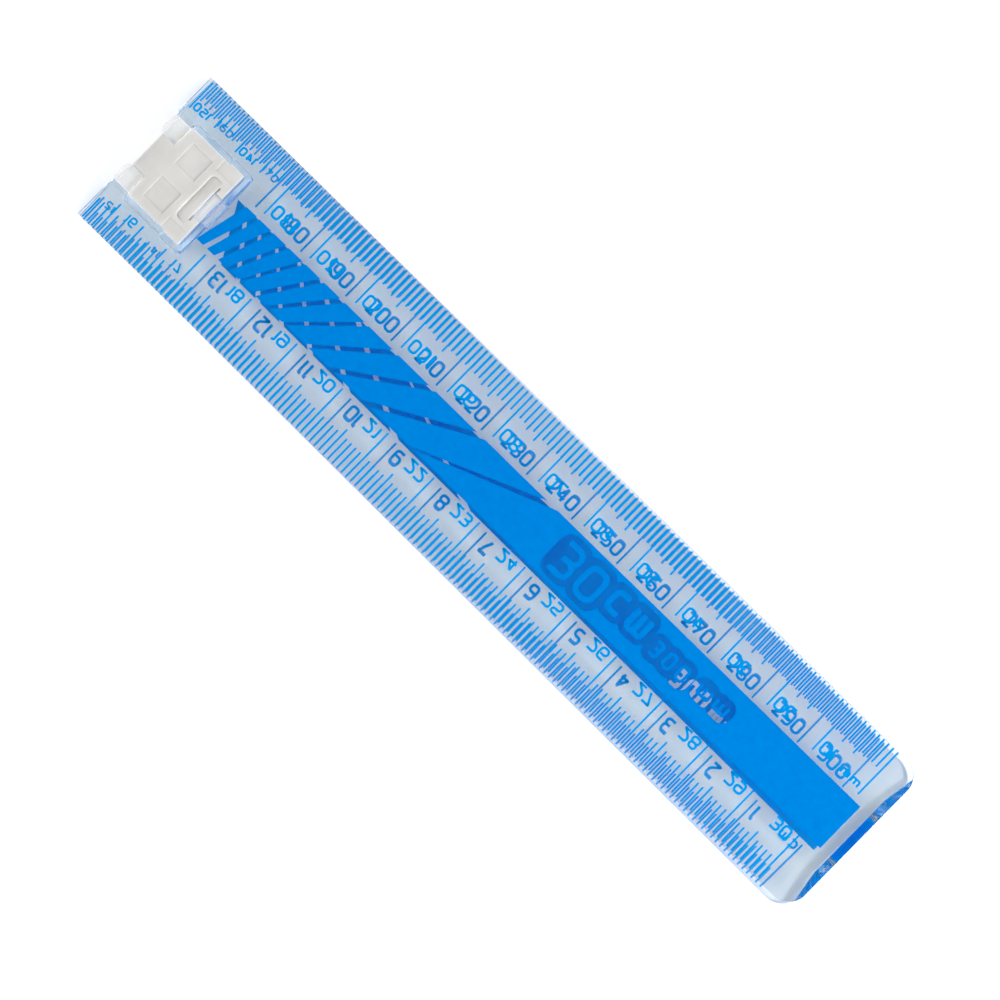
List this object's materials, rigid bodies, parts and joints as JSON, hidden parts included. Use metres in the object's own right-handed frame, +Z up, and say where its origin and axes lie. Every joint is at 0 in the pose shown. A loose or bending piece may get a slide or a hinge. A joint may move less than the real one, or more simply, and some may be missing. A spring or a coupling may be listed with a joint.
{
  "type": "folding ruler",
  "caption": "Clear plastic ruler that folds in half on a milky living hinge, lying closed, with millimetre and centimetre scales printed in blue.",
  "frame": {"origin": "centre of the closed ruler's footprint, on the surface that it lies on", "axes": "+X along the ruler from the hinge to the free ends, +Z up out of the printed face of the upper half, +Y across it"},
  "size_m": [0.1562, 0.031, 0.0051],
  "materials": {
    "clear_plastic": "clear, polished mouldings",
    "hinge_plastic": "milky, undyed polypropylene with a satin surface",
    "printed_ink": "screen-printed ink film on the outer faces"
  },
  "bodies": {
    "lower": {"lower_half": "clear_plastic", "lower_hinge_leaf": "hinge_plastic"},
    "web": {"hinge_web": "hinge_plastic"},
    "upper": {"upper_half": "clear_plastic", "upper_hinge_leaf": "hinge_plastic"}
  },
  "joints": [
    {"name": "lower_fold", "type": "hinge", "parent": "lower", "child": "web", "pos_m": [-0.07725, 0, 0.0016], "axis": [0, -1, 0], "range_deg": [0, 90]},
    {"name": "upper_fold", "type": "hinge", "parent": "web", "child": "upper", "pos_m": [-0.07725, 0, 0.0035], "axis": [0, -1, 0], "range_deg": [0, 90]}
  ]
}
